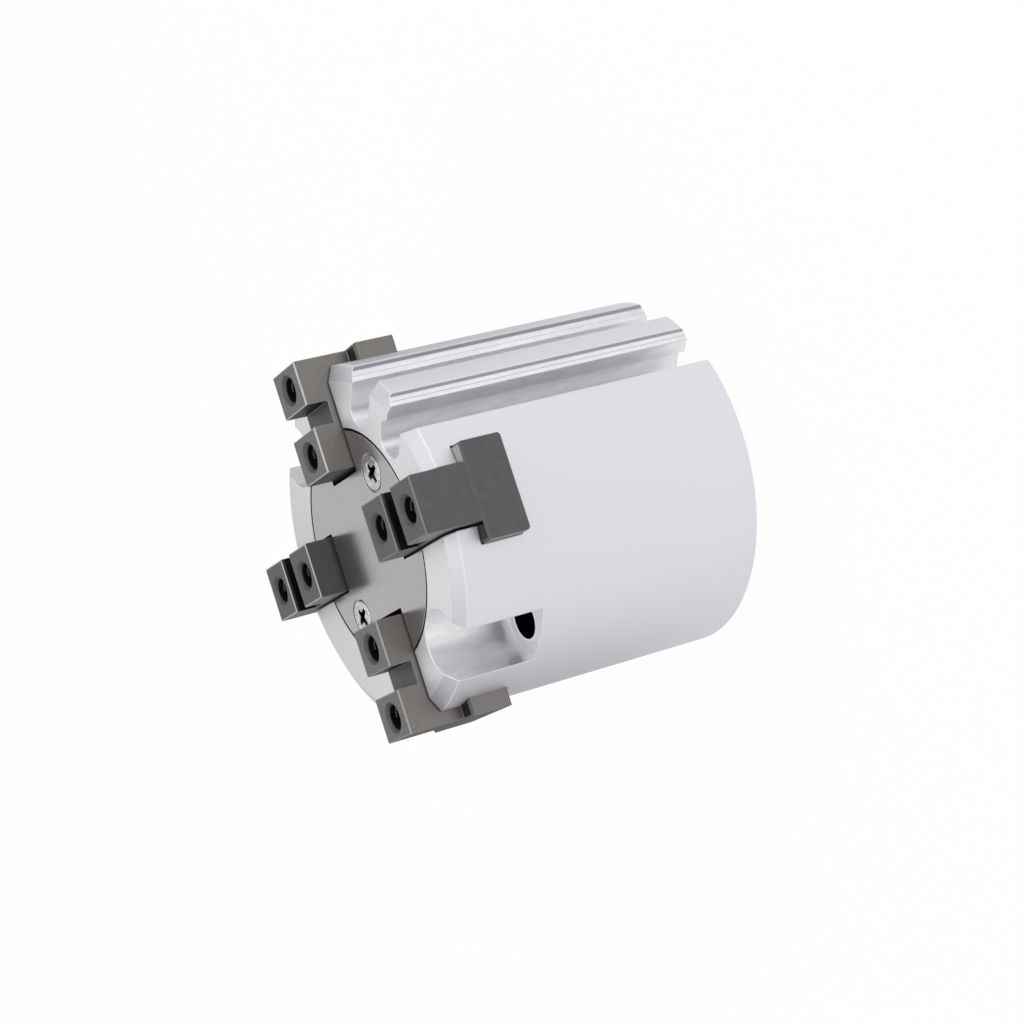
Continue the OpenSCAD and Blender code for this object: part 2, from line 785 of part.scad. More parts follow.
// Internal C ring with two plier ears
module retaining_ring() {
    ear_r = cap_r - 2.6;
    gap = 22;
    color([0.28, 0.27, 0.26])
        difference() {
            union() {
                ring(cap_r - 1.6, cap_r + ring_groove_depth - 0.1, ring_z + 0.05, ring_t);
                for (s = [-1, 1])
                    rotate([0, 0, s * (gap / 2 + 7)])
                        translate([ear_r, 0, ring_z + 0.05])
                            cylinder(r = 2, h = ring_t);
            }
            translate([0, 0, ring_z - cut])
                linear_extrude(height = ring_t + 2 * cut)
                    polygon([[0, 0], [2 * bore_r * cos(gap / 2), 2 * bore_r * sin(gap / 2)],
                        [2 * bore_r * cos(gap / 2), -2 * bore_r * sin(gap / 2)]]);
            for (s = [-1, 1])
                rotate([0, 0, s * (gap / 2 + 7)])
                    translate([ear_r, 0, ring_z - cut])
                        cylinder(r = 0.9, h = ring_t + 2 * cut);
        }
}

body();
end_plate();
plate_screws();
jaw_right();
jaw_top();
jaw_left();
jaw_bottom();
cam();
cam_bolt();
cam_washer();
cam_pin();
piston();
magnet();
magnet_holder();
holder_screws();
piston_seal();
wear_ring();
rod_seal();
front_bumper();
rear_bumper();
cap();
cap_seal();
retaining_ring();
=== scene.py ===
import json
import math

import bmesh
import bpy
from mathutils import Matrix, Vector


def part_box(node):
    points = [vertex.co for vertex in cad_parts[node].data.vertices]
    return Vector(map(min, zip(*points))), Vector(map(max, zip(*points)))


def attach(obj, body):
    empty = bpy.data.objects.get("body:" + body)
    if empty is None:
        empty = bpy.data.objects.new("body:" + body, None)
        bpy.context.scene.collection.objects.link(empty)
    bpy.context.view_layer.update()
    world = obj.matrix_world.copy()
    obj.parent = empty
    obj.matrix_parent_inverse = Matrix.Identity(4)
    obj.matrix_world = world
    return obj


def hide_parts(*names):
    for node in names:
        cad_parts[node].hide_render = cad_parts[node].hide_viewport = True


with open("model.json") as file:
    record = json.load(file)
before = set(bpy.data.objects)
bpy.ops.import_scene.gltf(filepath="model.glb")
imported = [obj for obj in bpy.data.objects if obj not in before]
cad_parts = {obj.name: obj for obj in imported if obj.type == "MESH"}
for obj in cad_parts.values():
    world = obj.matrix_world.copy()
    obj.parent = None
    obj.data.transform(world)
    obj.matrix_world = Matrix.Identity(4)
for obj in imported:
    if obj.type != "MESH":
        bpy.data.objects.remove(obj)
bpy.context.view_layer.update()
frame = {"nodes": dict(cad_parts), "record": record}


# ---- Camera and floor -----------------------------------------------------------------------------
# The gripper stands on its rear face on a matt white table, so its jaws point up. The camera looks at it
# from the side and above, and is rolled over so that the gripper's axis lies almost level in the view.
MM = 0.001
camera_place = Vector((385.972, -51.931, 241.949)) * MM
camera_aim = Vector((-0.065, -0.486, 30.342)) * MM
camera_roll = math.radians(-104.479)
camera_data = bpy.data.cameras.new("camera")
camera_data.sensor_width = 36.0
camera_data.lens = 89.51
camera_data.clip_start = 10 * MM
camera_data.clip_end = 20.0
camera = bpy.data.objects.new("camera", camera_data)
bpy.context.collection.objects.link(camera)
line_of_sight = (camera_aim - camera_place).to_track_quat("-Z", "Y").to_matrix().to_4x4()
camera.matrix_world = Matrix.Translation(camera_place) @ line_of_sight @ Matrix.Rotation(camera_roll, 4, "Z")
bpy.context.scene.camera = camera
bpy.context.scene.view_settings.view_transform = "Standard"


def feed(tree, node, inputs):
    """Gives each input, by name or number, its value or the output that feeds it. Map Range's numbers are 0
    for the value, 1 and 2 for what it runs from and 3 and 4 for what it runs to, at first 0 and 1. Mix's are
    0 for the share, 2 and 3 for two numbers and 6 and 7 for two colours."""
    for slot, value in inputs.items():
        if isinstance(value, bpy.types.NodeSocket):
            tree.links.new(value, node.inputs[slot])
        else:
            node.inputs[slot].default_value = value


def add(tree, kind, inputs=None, **settings):
    """Adds one node with its settings and inputs."""
    made = tree.nodes.new("ShaderNode" + kind)
    for name, value in settings.items():
        setattr(made, name, value)
    feed(tree, made, inputs or {})
    return made


def tint(code):
    """An sRGB hex colour as the linear RGBA that Blender's sockets take."""
    channels = [int(code[i:i + 2], 16) / 255 for i in (0, 2, 4)]
    linear = [c / 12.92 if c <= 0.04045 else ((c + 0.055) / 1.055) ** 2.4 for c in channels]
    return (*linear, 1.0)


def mesh_object(name, mesh, material):
    """An object that shows the mesh smooth, except at edges that turn by more than 35 degrees."""
    made = bpy.data.objects.new(name, mesh)
    bpy.context.collection.objects.link(made)
    mesh.materials.append(material)
    mesh.shade_smooth()
    mesh.set_sharp_from_angle(angle=math.radians(35))
    return made


# white table that glows: white to the camera, and in reflections a glow painted darker towards -X,
# the far side of the gripper, as painted shade in the gripper's reflections; a small share of plain
# paint takes a soft shadow
table_paint = bpy.data.materials.new("white_table")
table_paint.use_nodes = True
tree = table_paint.node_tree
tree.nodes.clear()
paths = add(tree, "LightPath").outputs
seen = add(tree, "Math", {0: paths["Is Camera Ray"], 1: 0.95}, operation="MULTIPLY").outputs[0]
mirrored = add(tree, "Math", {0: paths["Is Glossy Ray"], 1: paths["Is Transmission Ray"]},
               operation="MAXIMUM").outputs[0]
glow_share = add(tree, "Math", {0: seen, 1: mirrored}, operation="MAXIMUM").outputs[0]
across_table = add(tree, "SeparateXYZ", {0: add(tree, "TexCoord").outputs["Object"]}).outputs[0]
# painted shade in reflections: the glow that metal mirrors runs from 0.42 on the far side to 0.97
pale = add(tree, "MapRange", {0: across_table, 1: -55 * MM, 2: 30 * MM, 3: 0.42, 4: 0.97}).outputs[0]
strength = add(tree, "Mix", {0: mirrored, 2: 1.0, 3: pale}, data_type="FLOAT").outputs[0]
paint = add(tree, "BsdfDiffuse", {"Color": tint("F4F4F4")}).outputs[0]
glow = add(tree, "Emission", {"Color": tint("FFFFFF"), "Strength": strength}).outputs[0]
both = add(tree, "MixShader", {0: glow_share, 1: paint, 2: glow}).outputs[0]
add(tree, "OutputMaterial", {"Surface": both})

table_half = 3.0
floor_mesh = bpy.data.meshes.new("floor")
corners = [(x * table_half, y * table_half, 0) for x, y in ((-1, -1), (1, -1), (1, 1), (-1, 1))]
floor_mesh.from_pydata(corners, [], [(0, 1, 2, 3)])
floor = mesh_object("floor", floor_mesh, table_paint)
floor.location.z = -0.2 * MM


# ---- Studio light ---------------------------------------------------------------------------------
# A pale tent round the table, brightest low down and darker overhead, with one large soft lamp above
# the jaws and a weaker one on each side.
world = bpy.data.worlds.new("studio")
bpy.context.scene.world = world
world.use_nodes = True
tree = world.node_tree
tree.nodes.clear()
height = add(tree, "SeparateXYZ", {0: add(tree, "TexCoord").outputs["Generated"]}).outputs[2]
tent_strength = add(tree, "MapRange", {0: height, 1: 0.45, 2: 0.95, 3: 0.86, 4: 0.46}).outputs[0]
tent = add(tree, "Background", {"Color": tint("FFFFFF"), "Strength": tent_strength}).outputs[0]
backdrop = add(tree, "Background", {"Color": tint("FFFFFF"), "Strength": 1.0}).outputs[0]
seen = add(tree, "LightPath").outputs["Is Camera Ray"]
both = add(tree, "MixShader", {0: seen, 1: tent, 2: backdrop}).outputs[0]
add(tree, "OutputWorld", {"Surface": both})


def soft_lamp(name, place, size, power):
    """Round lamp, size metres across and of so many watts, aimed at the middle of the gripper."""
    data = bpy.data.lights.new(name, "AREA")
    data.shape = "DISK"
    data.size = size
    data.energy = power
    made = bpy.data.objects.new(name, data)
    bpy.context.collection.objects.link(made)
    made.location = place
    made.rotation_euler = (Vector((0, 0, 30 * MM)) - Vector(place)).to_track_quat("-Z", "Y").to_euler()


soft_lamp("lamp_above", (0.03, 0.12, 0.80), size=0.70, power=1.7)
soft_lamp("lamp_side", (0.50, 0.45, 0.35), size=0.80, power=0.9)
soft_lamp("lamp_left", (0.16, -0.42, 0.62), size=0.40, power=0.35)


# ---- Body -----------------------------------------------------------------------------------------
# Aluminium cylinder turned and milled from bar, then bead-blasted and clear anodised: an even, soft
# silver with a faint grain. Milled pockets and slots are smoother and mirror more.
mounts = {mount["name"]: mount for mount in frame["record"]["mounts"]}
openings = {opening["name"]: opening["box_m"] for opening in frame["record"]["physics"]["openings"]}
body_r = 31 * MM
plate_recess_r = 20 * MM
bolt_hole_r = mounts["mounting_holes"]["dims"]["hole_r_mm"] * MM
# a bolt's axis is the middle of its pocket's opening
bolt_spot = sum((Vector(corner) for corner in openings["pocket_lower"]), Vector()) / 2
bolt_spot.z = 0


def start(name):
    """A new node material; gives its node tree, its Principled shader and the rest-frame coordinates."""
    made = bpy.data.materials.new(name)
    made.use_nodes = True
    made.node_tree.nodes.clear()
    shader = add(made.node_tree, "BsdfPrincipled")
    add(made.node_tree, "OutputMaterial", {"Surface": shader.outputs[0]})
    return made, made.node_tree, shader, add(made.node_tree, "TexCoord").outputs["Object"]


def fade(tree, value, low, high, first, second):
    """Colour that goes from first to second as the value goes from low to high."""
    share = add(tree, "MapRange", {0: value, 1: low, 2: high}).outputs[0]
    return add(tree, "Mix", {0: share, 6: tint(first), 7: tint(second)}, data_type="RGBA").outputs[2]


def layered(tree, base, *layers):
    """Colour of a surface on which each layer lies in turn: its share, and a hex code or an output."""
    for share, colour in layers:
        colour = tint(colour) if isinstance(colour, str) else colour
        base = add(tree, "Mix", {0: share, 6: base, 7: colour}, data_type="RGBA").outputs[2]
    return base


def rounded(tree, radius):
    """Normals of edges rounded to the radius, and how strongly a point lies on such an edge."""
    soft = add(tree, "Bevel", {"Radius": radius}, samples=6).outputs[0]
    flat = add(tree, "NewGeometry").outputs["Normal"]
    along = add(tree, "VectorMath", {0: soft, 1: flat}, operation="DOT_PRODUCT").outputs["Value"]
    return soft, add(tree, "MapRange", {0: along, 1: 0.995, 2: 0.80}).outputs[0]


def dress(node, material):
    """Gives a CAD node its material in place of the plain one."""
    for place in frame["nodes"][node].material_slots:
        place.material = material


# anodised aluminium: the blasted outside is matt with a cool tint, and its grain of a fifth of a
# millimetre is drawn at 0.25 mm; the turned front is neutral, milled faces mirror more with marks drawn
# out along the cut, and edges are painted bright, partly as wear and partly as painted highlight. Painted
# shade darkens the flat front towards -X, the lips' small steps and the bolt holes, a painted highlight
# rings each bolt hole, and a painted shadow lies round the plate.
anodised, tree, shader, coords = start("anodised_aluminium")
x, y = add(tree, "SeparateXYZ", {0: coords}).outputs[:2]
from_axis = add(tree, "CombineXYZ", {0: x, 1: y}).outputs[0]
radius = add(tree, "VectorMath", {0: from_axis}, operation="LENGTH").outputs["Value"]
normal = add(tree, "NewGeometry").outputs["True Normal"]
facing_front = add(tree, "SeparateXYZ", {0: normal}).outputs[2]
blasted = add(tree, "MapRange", {0: radius, 1: body_r - 0.3 * MM, 2: body_r - 0.1 * MM}).outputs[0]
turned = add(tree, "MapRange", {0: facing_front, 1: 0.6, 2: 0.8}).outputs[0]
flat_front = add(tree, "MapRange", {0: facing_front, 1: 0.92, 2: 0.98}).outputs[0]

# the small steps above the switch grooves' lips face sideways, just under the outside; they are painted
# darker, as painted shade
across_grooves = (math.sqrt(0.5), -math.sqrt(0.5), 0)
sideways = add(tree, "VectorMath", {0: normal, 1: across_grooves}, operation="DOT_PRODUCT").outputs["Value"]
sideways = add(tree, "MapRange", {0: sideways, 1: 0.80, 2: 0.90}).outputs[0]
near_outside = add(tree, "MapRange", {0: radius, 1: body_r - 1.58 * MM, 2: body_r - 1.52 * MM}).outputs[0]
lip_step_shade = add(tree, "Math", {0: sideways, 1: near_outside}, operation="MULTIPLY").outputs[0]

bolt_distances = [add(tree, "VectorMath", {0: from_axis, 1: spot}, operation="DISTANCE").outputs["Value"]
                  for spot in (bolt_spot, -bolt_spot)]
from_bolt = add(tree, "Math", {0: bolt_distances[0], 1: bolt_distances[1]}, operation="MINIMUM").outputs[0]
# painted shade: the bolt holes are painted almost black
bolt_hole_shade = add(tree, "MapRange", {0: from_bolt, 1: bolt_hole_r + 0.03 * MM, 2: bolt_hole_r + 0.01 * MM})
# painted highlight: a white ring round each bolt hole's mouth
hole_rim_highlight = add(tree, "MapRange", {0: from_bolt, 1: bolt_hole_r + 0.45 * MM, 2: bolt_hole_r + 0.35 * MM})
# painted shadow: the recess's chamfer round the plate is painted dark, as the shadow in the gap
chamfer = add(tree, "Math", {0: facing_front, 1: math.sqrt(0.5), 2: 0.1}, operation="COMPARE").outputs[0]
by_plate = add(tree, "MapRange", {0: radius, 1: plate_recess_r + 0.7 * MM, 2: plate_recess_r + 0.6 * MM})
plate_gap_shadow = add(tree, "Math", {0: chamfer, 1: by_plate.outputs[0]}, operation="MULTIPLY").outputs[0]

# edges are painted bright, partly as wear and partly as painted highlight
soft, edge = rounded(tree, 0.32 * MM)
drawn_out = add(tree, "Mapping", {"Vector": coords, "Scale": (1, 1, 0.3)}).outputs[0]
marks = add(tree, "TexNoise", {"Vector": drawn_out, "Scale": 1 / (1.4 * MM), "Detail": 5.0, "Roughness": 0.7})
milled = fade(tree, marks.outputs[0], 0.3, 0.7, "E6E6E9", "FAFAFC")
# painted shade: the flat front is painted darker towards -X
front_painted_shade = fade(tree, x, -30 * MM, 5 * MM, "DCDCDE", "EDEDF0")
base = layered(tree, milled, (turned, "D8D8DD"), (flat_front, front_painted_shade), (lip_step_shade, "A8A8B0"),
               (blasted, "E6E6EC"), (edge, "FAFAFB"), (hole_rim_highlight.outputs[0], "FFFFFF"), (plate_gap_shadow, "2A2A2C"),
               (bolt_hole_shade.outputs[0], "1C1C1E"))
smooth = add(tree, "MapRange", {0: turned, 3: 0.40, 4: 0.55}).outputs[0]
rough = add(tree, "Mix", {0: blasted, 2: smooth, 3: 0.55}, data_type="FLOAT").outputs[0]
blast_grain = add(tree, "TexNoise", {"Vector": coords, "Scale": 1 / (0.25 * MM)}).outputs[0]
bump = add(tree, "Bump", {"Strength": 0.25, "Distance": 0.02 * MM, "Height": blast_grain, "Normal": soft})
feed(tree, shader, {"Base Color": base, "Metallic": 1.0, "Roughness": rough, "Normal": bump.outputs[0]})
dress("body", anodised)


# ---- Air ports ------------------------------------------------------------------------------------
# Two M5 threads for push-in fittings, tapped straight into the anodised cylinder. Each starts below the
# port's countersink and is a ridge that stands in from the drilled hole.
m5_pitch = 0.8 * MM
m5_ridge = 0.28 * MM
port_thread_l = 6.2 * MM
port_thread_top = 2.3 * MM


def m5_thread(name, bore_r, length, material):
    """Helical ridge that stands in from a hole of bore_r along Z, from z = -length up to 0."""
    steps = 28
    turns = int(length / m5_pitch)
    foot_r = bore_r + 0.02 * MM
    foot_half = 0.42 * m5_pitch
    crest_half = 0.06 * m5_pitch
    made = bmesh.new()
    rows = []
    for i in range(turns * steps + 1):
        angle = 2 * math.pi * i / steps
        z = -length + m5_pitch * (0.5 + i / steps * (turns - 1) / turns)
        run_out = min(1.0, i / steps, turns - i / steps)
        crest_r = bore_r - m5_ridge * run_out
        profile = ((foot_r, z - foot_half), (crest_r, z - crest_half),
                   (crest_r, z + crest_half), (foot_r, z + foot_half))
        rows.append([made.verts.new((r * math.cos(angle), r * math.sin(angle), h)) for r, h in profile])
    for row, following in zip(rows, rows[1:]):
        for a, b in ((0, 1), (1, 2), (2, 3), (3, 0)):
            made.faces.new((row[a], following[a], following[b], row[b]))
    made.faces.new(rows[0])
    made.faces.new(reversed(rows[-1]))
    bmesh.ops.recalc_face_normals(made, faces=made.faces)
    mesh = bpy.data.meshes.new(name)
    made.to_mesh(mesh)
    made.free()
    return mesh_object(name, mesh, material)


def aim_along(piece, place, axis):
    """Puts the piece's origin at the place and its Z along the axis."""
    piece.matrix_world = Matrix.Translation(place) @ Vector(axis).to_track_quat("Z", "Y").to_matrix().to_4x4()


for port in ("air_port_open", "air_port_close"):
    axis = Vector(mounts[port]["axis"])
    bore_r = mounts[port]["dims"]["r_mm"] * MM
    piece = m5_thread("thread_" + port, bore_r, port_thread_l, anodised)
    aim_along(piece, Vector(mounts[port]["pos_m"]) + axis * port_thread_top, axis)
    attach(piece, "housing")


# ---- Jaws -----------------------------------------------------------------------------------------
# Hardened tool steel, oil-blackened and then ground on the two sliding sides. The tapped holes, their
# countersinks and the key slot between the lugs are painted dark as painted shade, and the edges are
# painted bright, partly as wear and partly as painted highlight.
finger_holes = mounts["finger_holes_right"]
hole_pair_r = finger_holes["pos_m"][0]
hole_spacing = finger_holes["dims"]["spacing_x_mm"] * MM
tap_r = finger_holes["dims"]["hole_r_mm"] * MM
countersink_r = tap_r + 0.65 * MM
key_slot_half = 2 * MM
lug_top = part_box("jaw_right")[1][2]
front_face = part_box("end_plate")[1][2]
jaw_thread_l = 9 * MM
jaw_thread_top = lug_top - 1.2 * MM


def jaw_steel(name, side, wall_dark_at, lug_colours, edge_lit_colours, shoulder_painted_colours, shoulder_roughness):
    """Finish of the two jaws whose ground sides face the axis side, 0 for X or 1 for Y. The slot's walls
    are painted fully dark at wall_dark_at below the lugs' tops, as painted shade. The edges' colours, partly
    wear and partly painted highlight, go from one end of the jaws' path to the other, lighter at one end as
    painted light, and the shoulders' painted light and shade goes from one ground side to the other."""
    made, tree, shader, coords = start(name)
    place = add(tree, "SeparateXYZ", {0: coords}).outputs
    path, width, height = place[1 - side], place[side], place[2]
    normal = add(tree, "SeparateXYZ", {0: add(tree, "NewGeometry").outputs["True Normal"]}).outputs
    facing_path, facing_side, facing_front = normal[1 - side], normal[side], normal[2]

    # the two tapped holes, and how far a point is along the path from the middle between them
    reach = add(tree, "Math", {0: path}, operation="ABSOLUTE").outputs[0]
    off_middle = add(tree, "Math", {0: reach, 1: hole_pair_r}, operation="SUBTRACT").outputs[0]
    off_middle = add(tree, "Math", {0: off_middle}, operation="ABSOLUTE").outputs[0]
    off_hole = add(tree, "Math", {0: off_middle, 1: hole_spacing / 2}, operation="SUBTRACT").outputs[0]
    from_hole = add(tree, "CombineXYZ", {0: off_hole, 1: width}).outputs[0]
    from_hole = add(tree, "VectorMath", {0: from_hole}, operation="LENGTH").outputs["Value"]
    # painted shade: the countersinks are painted darker towards the hole
    sunk_shade = add(tree, "MapRange", {0: from_hole, 1: countersink_r, 2: tap_r + 0.1 * MM, 4: 0.45}).outputs[0]
    # painted shade: the tapped holes are painted almost black
    in_hole_shade = add(tree, "MapRange", {0: from_hole, 1: tap_r + 0.12 * MM, 2: tap_r + 0.04 * MM}).outputs[0]
    clear_of_hole = add(tree, "MapRange", {0: from_hole, 1: countersink_r + 0.2 * MM,
                                           2: countersink_r + 0.6 * MM}).outputs[0]

    # faces: the ground sides, the lugs' tops and the shoulders of the T beside the lugs
    ground = add(tree, "Math", {0: facing_side}, operation="ABSOLUTE").outputs[0]
    ground = add(tree, "MapRange", {0: ground, 1: 0.9, 2: 0.95}).outputs[0]
    top = add(tree, "MapRange", {0: facing_front, 1: 0.9, 2: 0.95}).outputs[0]
    below_plate = add(tree, "MapRange", {0: height, 1: front_face, 2: front_face - 1 * MM}).outputs[0]
    shoulder = add(tree, "Math", {0: top, 1: below_plate}, operation="MULTIPLY").outputs[0]
    lug = add(tree, "MapRange", {0: height, 1: lug_top - 3 * MM, 2: lug_top - 2 * MM, 4: 0.6}).outputs[0]
    lug = add(tree, "Math", {0: top, 1: lug}, operation="MULTIPLY").outputs[0]

    # painted shade: the key slot's two walls are painted darker the deeper they go
    slot_wall_shade = add(tree, "Math", {0: facing_path}, operation="ABSOLUTE").outputs[0]
    slot_wall_shade = add(tree, "MapRange", {0: slot_wall_shade, 1: 0.9, 2: 0.95}).outputs[0]
    in_slot = add(tree, "MapRange", {0: off_middle, 1: key_slot_half + 0.4 * MM, 2: key_slot_half + 0.2 * MM})
    deep_shade = add(tree, "MapRange", {0: height, 1: lug_top - 0.4 * MM, 2: lug_top - wall_dark_at})
    for share in (in_slot, deep_shade):
        slot_wall_shade = add(tree, "Math", {0: slot_wall_shade, 1: share.outputs[0]}, operation="MULTIPLY").outputs[0]

    # edges painted light, partly as wear and partly as painted highlight: the sharp ones away from the
    # holes, and the small chamfers above the plate
    soft, edge = rounded(tree, 0.2 * MM)
    edge = add(tree, "Math", {0: edge, 1: clear_of_hole}, operation="MULTIPLY").outputs[0]
    above_plate = add(tree, "MapRange", {0: height, 1: front_face, 2: front_face + 1 * MM}).outputs[0]
    chamfer = add(tree, "Math", {0: facing_front, 1: math.sqrt(0.5), 2: 0.1}, operation="COMPARE").outputs[0]
    for share in (clear_of_hole, above_plate):
        chamfer = add(tree, "Math", {0: chamfer, 1: share}, operation="MULTIPLY").outputs[0]

    # grinding lines run along the jaw's path; they are a few hundredths wide and drawn at 0.12 mm
    path_scale = (0.06, 1, 1) if side == 1 else (1, 0.06, 1)
    drawn_out = add(tree, "Mapping", {"Vector": coords, "Scale": path_scale}).outputs[0]
    lines = add(tree, "TexNoise", {"Vector": drawn_out, "Scale": 1 / (0.12 * MM), "Detail": 3.0,
                                   "Roughness": 0.6}).outputs[0]
    patches = add(tree, "TexNoise", {"Vector": coords, "Scale": 1 / (1.4 * MM), "Detail": 5.0,
                                     "Roughness": 0.7}).outputs[0]
    specks = add(tree, "TexNoise", {"Vector": coords, "Scale": 1 / (0.4 * MM), "Detail": 4.0,
                                    "Roughness": 0.7}).outputs[0]
    lug_shade = fade(tree, specks, 0.3, 0.7, *lug_colours)
    # painted light and shade: the shoulder's colour goes from one ground side to the other
    shoulder_painted_light = fade(tree, width, -1 * MM, 1 * MM, *shoulder_painted_colours)
    ground_shade = fade(tree, lines, 0.3, 0.7, "7A7774", "868380")
    # painted light: one jaw of the pair has lighter edges than the other
    worn_and_lit_edge = fade(tree, path, -1 * MM, 1 * MM, *edge_lit_colours)
    base = fade(tree, patches, 0.3, 0.7, "5D5C5D", "656465")
    base = layered(tree, base, (lug, lug_shade), (shoulder, shoulder_painted_light), (slot_wall_shade, "161616"),
                   (sunk_shade, "3A3A3A"), (ground, ground_shade), (edge, worn_and_lit_edge), (chamfer, worn_and_lit_edge),
                   (in_hole_shade, "222020"))
    rough = add(tree, "MapRange", {0: ground, 3: 0.52, 4: 0.42}).outputs[0]
    rough = add(tree, "Mix", {0: shoulder, 2: rough, 3: shoulder_roughness}, data_type="FLOAT").outputs[0]
    relief = add(tree, "Mix", {0: ground, 2: specks, 3: lines}, data_type="FLOAT").outputs[0]
    bump = add(tree, "Bump", {"Strength": 0.25, "Distance": 0.012 * MM, "Height": relief, "Normal": soft})
    feed(tree, shader, {"Base Color": base, "Metallic": 0.75, "Roughness": rough, "Normal": bump.outputs[0]})
    return made


def plain_steel(name, dark, light, roughness):
    """Bare or treated metal with a mottle of two close colours; its edges take the lighter one, partly as
    wear and partly as painted highlight.
    """
    made, tree, shader, coords = start(name)
    soft, edge = rounded(tree, 0.15 * MM)
    marks = add(tree, "TexNoise", {"Vector": coords, "Scale": 1 / (0.3 * MM), "Detail": 3.0,
                                   "Roughness": 0.6}).outputs[0]
    base = layered(tree, fade(tree, marks, 0.3, 0.7, dark, light), (edge, light))
    bump = add(tree, "Bump", {"Strength": 0.2, "Distance": 0.01 * MM, "Height": marks,
                              "Normal": soft}).outputs[0]
    feed(tree, shader, {"Base Color": base, "Metallic": 1.0, "Roughness": roughness, "Normal": bump})
    return made


# oil-blackened tool steel: dark grey ends and lug tops, and lighter, warmer ground sides; the shoulders
# of the left and right jaws are polished. The two materials are lit and shaded copies of one steel: the
# left and right jaws' lug tops are painted darker, as painted shade, and each copy paints its own light and
# shade on the edges, shoulders and slot walls.
jaw_steels = [
    jaw_steel("blackened_tool_steel_x", 0, 3.4 * MM, ("62615F", "9A9998"), ("A09E9C", "C0BEBC"),
              ("2E2C2C", "2E2C2C"), 0.45),
    jaw_steel("blackened_tool_steel_y", 1, 0.8 * MM, ("4A494A", "7C7B7C"), ("B4B2B0", "8A8888"),
              ("242222", "A8A6A4"), 0.14)]
# tapped threads: brownish grey and dull under their oil
tapped_steel = plain_steel("oiled_tapped_steel", "5C5A58", "7A7876", 0.5)
for name, side, sign in (("right", 1, 1), ("left", 1, -1), ("top", 0, 1), ("bottom", 0, -1)):
    dress("jaw_" + name, jaw_steels[side])
    for end, hole_r in (("inner", hole_pair_r - hole_spacing / 2), ("outer", hole_pair_r + hole_spacing / 2)):
        piece = m5_thread(f"thread_{name}_{end}", tap_r, jaw_thread_l, tapped_steel)
        place = Vector((0, 0, jaw_thread_top))
        place[1 - side] = sign * hole_r
        aim_along(piece, place, (0, 0, 1))
        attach(piece, "jaw_" + name)


# ---- Wedge cam ------------------------------------------------------------------------------------
# Hardened steel cross with an inclined T-slot in each arm, ground all over, held on the rod by a
# socket screw with a washer and kept square by a dowel pin.
# ground steel: mid grey with a soft sheen
dress("cam", plain_steel("ground_cam_steel", "85858A", "9A9AA0", 0.30))
# black oxide: almost black and satin
black_oxide = plain_steel("black_oxide_steel", "2A2A2B", "3A3A3C", 0.45)
dress("cam_bolt", black_oxide)
# bright zinc: pale and shiny
bright_zinc = plain_steel("bright_zinc_steel", "D4D4D6", "E6E6E8", 0.22)
dress("cam_washer", bright_zinc)
dress("cam_pin", bright_zinc)


# ---- Piston ---------------------------------------------------------------------------------------
# Aluminium disc and rod turned in one piece. A ring magnet sits behind the disc under a thin holder
# with three countersunk screws, and the rim carries a rubber seal and an acetal wear ring.
# turned aluminium, hard anodised: a cool silver with a soft sheen
turned_aluminium = plain_steel("turned_aluminium", "C9CBD2", "DADCE2", 0.28)
dress("piston", turned_aluminium)
dress("magnet_holder", turned_aluminium)
dress("holder_screws", black_oxide)


def moulded(name, dark, light, roughness):
    """Moulded rubber or plastic: an almost even colour with a fine matt grain."""
    made, tree, shader, coords = start(name)
    marks = add(tree, "TexNoise", {"Vector": coords, "Scale": 1 / (0.4 * MM), "Detail": 3.0}).outputs[0]
    base = fade(tree, marks, 0, 1, dark, light)
    bump = add(tree, "Bump", {"Strength": 0.2, "Distance": 0.01 * MM, "Height": marks}).outputs[0]
    feed(tree, shader, {"Base Color": base, "Roughness": roughness, "Normal": bump})
    return made


# bonded ferrite: a matt, brownish black
dress("magnet", moulded("bonded_ferrite", "2B2A28", "383634", 0.6))
# nitrile rubber: black and satin
nitrile = moulded("nitrile_rubber", "171717", "222222", 0.55)
dress("piston_seal", nitrile)
dress("rod_seal", nitrile)
dress("cap_seal", nitrile)
# natural acetal: smooth and cream
dress("wear_ring", moulded("natural_acetal", "DDD8C4", "E8E3D2", 0.4))
# polyurethane: a dark, faintly olive rubber
polyurethane = moulded("polyurethane_rubber", "33332F", "3F3F3B", 0.5)
dress("front_bumper", polyurethane)
dress("rear_bumper", polyurethane)


# ---- Rear closure ---------------------------------------------------------------------------------
# Turned aluminium cap pushed into the cylinder's rear mouth against its seal, and held there by a
# spring-steel C ring in a groove. Phosphate makes the ring dull and brownish.
dress("cap", turned_aluminium)
dress("retaining_ring", plain_steel("phosphated_spring_steel", "3B3A38", "4B4A47", 0.5))


# ---- Front plate ----------------------------------------------------------------------------------
# Round steel plate, ground flat, that closes the jaws' slots. Two countersunk cross-recess screws,
# bright zinc plated, hold it.
# ground steel: a dull warm grey with sharp edges that are painted lighter, partly as wear and partly as
# painted highlight; its straight grinding lines are drawn at 0.16 mm
ground_plate, tree, shader, coords = start("ground_plate_steel")
soft, edge = rounded(tree, 0.15 * MM)
drawn_out = add(tree, "Mapping", {"Vector": coords, "Rotation": (0, 0, math.radians(35)),
                                  "Scale": (0.04, 1, 1)}).outputs[0]
lines = add(tree, "TexNoise", {"Vector": drawn_out, "Scale": 1 / (0.16 * MM), "Detail": 4.0,
                               "Roughness": 0.65}).outputs[0]
clouds = add(tree, "TexNoise", {"Vector": coords, "Scale": 1 / (7 * MM), "Detail": 3.0}).outputs[0]
clouds = add(tree, "MapRange", {0: clouds, 1: 0.35, 2: 0.75, 4: 0.3}).outputs[0]
